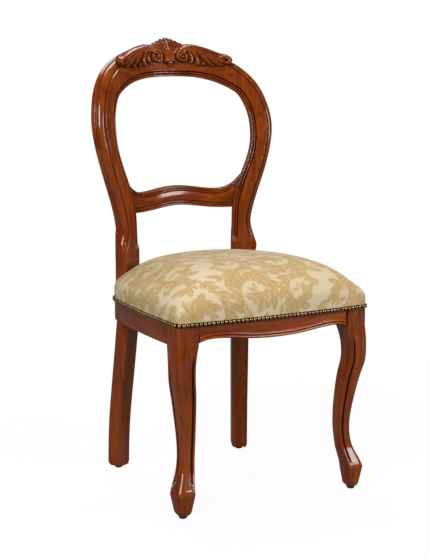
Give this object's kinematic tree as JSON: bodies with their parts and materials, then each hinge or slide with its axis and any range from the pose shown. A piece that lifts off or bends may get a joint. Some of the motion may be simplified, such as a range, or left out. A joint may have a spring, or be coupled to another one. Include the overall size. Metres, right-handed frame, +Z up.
{
  "type": "upholstered dining chair",
  "caption": "Balloon-back dining chair with a dished moulded wooden back, carved crest, serpentine cross rail, stuffed-over patterned seat with nail trim and cabriole front legs.",
  "frame": {"origin": "on the floor under the middle of the chair's width and depth", "axes": "+Z up, -Y the way the sitter faces, X across the chair"},
  "size_m": [0.4644, 0.5146, 0.9607],
  "materials": {
    "lacquered_wood": "reddish-brown stain under a glossy lacquer",
    "carved_wood": "carved, stained a little darker in the hollows, lacquered",
    "plain_wood": "sawn and unfinished",
    "dowel_wood": "plain beech rod",
    "screw_steel": "zinc plated",
    "webbing": "woven jute",
    "hessian": "coarse open weave",
    "foam": "soft open-cell foam",
    "wadding": "loose felted wadding",
    "damask": "cream and gold scrolling-leaf damask",
    "trim_strip": "dark antique brass strip",
    "nail_brass": "antique brass",
    "dust_cloth": "thin black non-woven cloth",
    "glide": "dark moulded nylon"
  },
  "bodies": {
    "root": {"back_cross_rail": "lacquered_wood", "corner_block_left": "plain_wood", "corner_block_right": "plain_wood", "corner_block_screws": "screw_steel", "crest_carving": "carved_wood", "crest_rail": "lacquered_wood", "crest_rail_dowels": "dowel_wood", "cross_rail_dowels": "dowel_wood", "dust_cover": "dust_cloth", "front_glide_left": "glide", "front_glide_right": "glide", "front_leg_left": "lacquered_wood", "front_leg_right": "lacquered_wood", "front_rail_dowels": "dowel_wood", "front_seat_rail": "lacquered_wood", "hessian_canvas": "hessian", "rear_glide_left": "glide", "rear_glide_right": "glide", "rear_leg_left": "lacquered_wood", "rear_leg_right": "lacquered_wood", "rear_rail_dowels": "dowel_wood", "rear_seat_rail": "lacquered_wood", "seat_cover": "damask", "seat_foam": "foam", "seat_wadding": "wadding", "side_rail_dowels": "dowel_wood", "side_seat_rail_left": "lacquered_wood", "side_seat_rail_right": "lacquered_wood", "trim_band": "trim_strip", "upholstery_nails": "nail_brass", "upholstery_nails_rear": "nail_brass", "webbing_crosswise": "webbing", "webbing_lengthwise": "webbing"}
  },
  "joints": []
}
